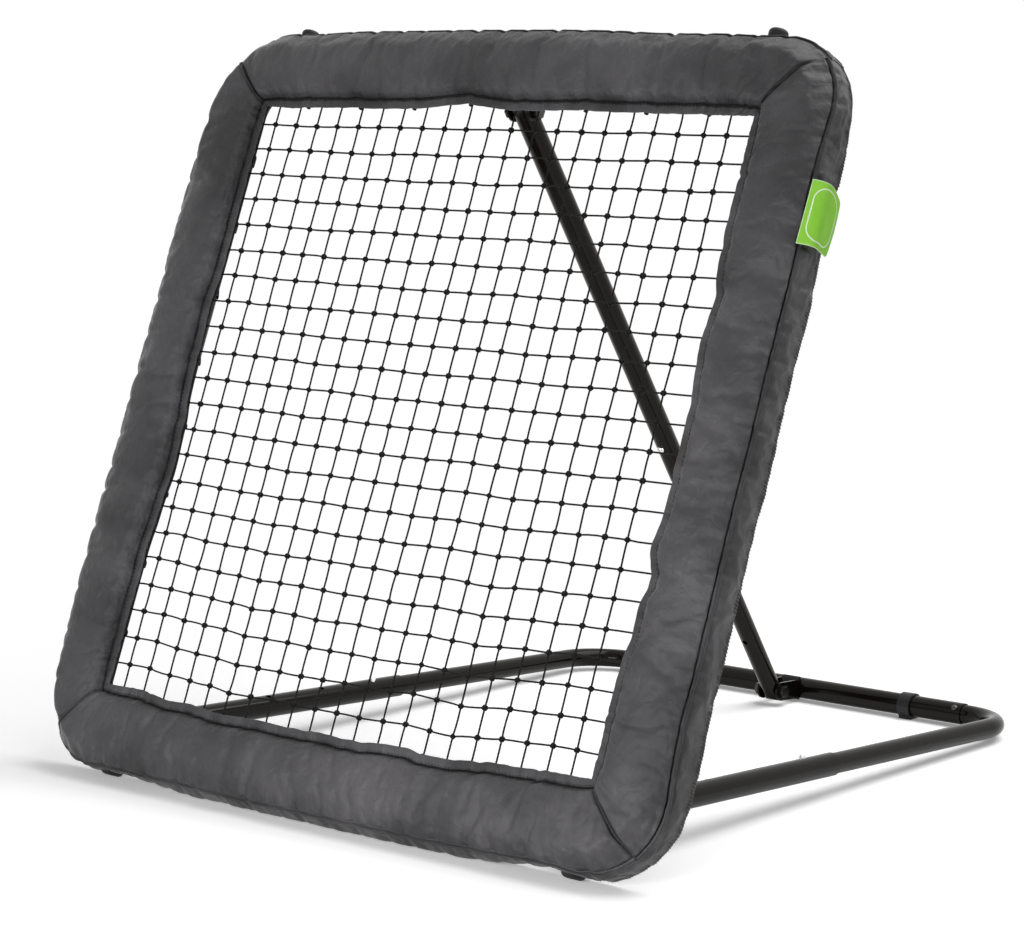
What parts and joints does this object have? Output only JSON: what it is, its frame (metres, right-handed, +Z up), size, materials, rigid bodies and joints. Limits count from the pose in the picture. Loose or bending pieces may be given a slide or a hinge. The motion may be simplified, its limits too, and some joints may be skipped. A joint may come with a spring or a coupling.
{
  "type": "pitch back rebounder",
  "caption": "Leaning square net in a padded tube frame, hinged to a ground base and held by a telescoping rear strut, which throws a ball back.",
  "frame": {"origin": "on the ground, in the middle of the bounding box's footprint", "axes": "+X to the right seen from the thrower, -Y towards the thrower, +Z up; the net leans back towards +Y"},
  "size_m": [0.8414, 0.868, 0.796],
  "materials": {
    "black_tube": "gloss powder coat",
    "pad_cloth": "woven polyester with a slight sheen",
    "net_twine": "knotted twine",
    "cord": "braided cord",
    "label": "printed satin ribbon",
    "rubber": "matte moulded rubber",
    "black_plastic": "moulded, satin",
    "zinc_steel": "zinc plated",
    "bright_steel": "polished",
    "spring_steel": "bare spring steel"
  },
  "bodies": {
    "base": {"arm_left": "black_tube", "arm_right": "black_tube", "arm_plug_left": "black_plastic", "arm_plug_right": "black_plastic", "hinge_bolt_left": "zinc_steel", "hinge_bolt_right": "zinc_steel", "hinge_nuts": "zinc_steel", "rear_leg_left": "black_tube", "rear_leg_right": "black_tube", "snap_spring_left": "spring_steel", "snap_spring_right": "spring_steel", "cross_tube": "black_tube", "cross_screws": "zinc_steel", "floor_clip_left": "black_plastic", "floor_clip_right": "black_plastic", "rear_bracket": "black_tube", "rear_bolt": "zinc_steel", "rear_nut": "zinc_steel"},
    "target_frame": {"tube_top": "black_tube", "tube_bottom": "black_tube", "tube_left": "black_tube", "tube_right": "black_tube", "bend_top_left": "black_tube", "bend_top_right": "black_tube", "bend_bottom_left": "black_tube", "bend_bottom_right": "black_tube", "pad_top": "pad_cloth", "pad_bottom": "pad_cloth", "pad_left": "pad_cloth", "pad_right": "pad_cloth", "net": "net_twine", "net_cord": "cord", "ties_top": "cord", "ties_bottom": "cord", "ties_left": "cord", "ties_right": "cord", "label": "label", "foot_left": "rubber", "foot_right": "rubber", "foot_posts": "black_tube", "bumper_left": "rubber", "bumper_right": "rubber", "bumper_posts": "black_tube", "hinge_bracket_left": "black_tube", "hinge_bracket_right": "black_tube", "strut_bracket": "black_tube", "strut_top_bolt": "zinc_steel", "strut_top_nut": "zinc_steel"},
    "strut_lower": {"strut_lower": "black_tube", "strut_foot_plug": "black_plastic"},
    "strut_upper": {"strut_upper": "black_tube", "strut_top_plug": "black_plastic"},
    "lock_pin": {"lock_pin": "bright_steel"},
    "snap_button_left": {"snap_button_left": "bright_steel"},
    "snap_button_right": {"snap_button_right": "bright_steel"}
  },
  "joints": [
    {"name": "tilt", "type": "hinge", "parent": "base", "child": "target_frame", "pos_m": [0, -0.35154, 0.05048], "axis": [1, 0, 0], "range_deg": [-27.2, 0]},
    {"name": "strut_swing", "type": "hinge", "parent": "base", "child": "strut_lower", "pos_m": [0, 0.37202, 0.0178], "axis": [1, 0, 0], "range_deg": [-12.85, 0]},
    {"name": "strut_slide", "type": "slide", "parent": "strut_lower", "child": "strut_upper", "axis": [0, -0.5632, 0.8263], "range_m": [-0.2926, 0]},
    {"name": "lock_pull", "type": "slide", "parent": "strut_upper", "child": "lock_pin", "axis": [0, -0.8263, -0.5632], "range_m": [0, 0.012], "stiffness_N_per_m": 300, "springref_m": -0.005},
    {"name": "snap_press_left", "type": "slide", "parent": "base", "child": "snap_button_left", "axis": [-0.2924, -0.0439, -0.9553], "range_m": [0, 0.0042], "stiffness_N_per_m": 1500, "springref_m": -0.003},
    {"name": "snap_press_right", "type": "slide", "parent": "base", "child": "snap_button_right", "axis": [0.2924, -0.0439, -0.9553], "range_m": [0, 0.0042], "stiffness_N_per_m": 1500, "springref_m": -0.003}
  ],
  "couplings": [
    {"joint": "strut_swing", "follows": "tilt", "ratio": 0.47087},
    {"joint": "strut_slide", "follows": "tilt", "m_per_rad": 0.61629}
  ]
}
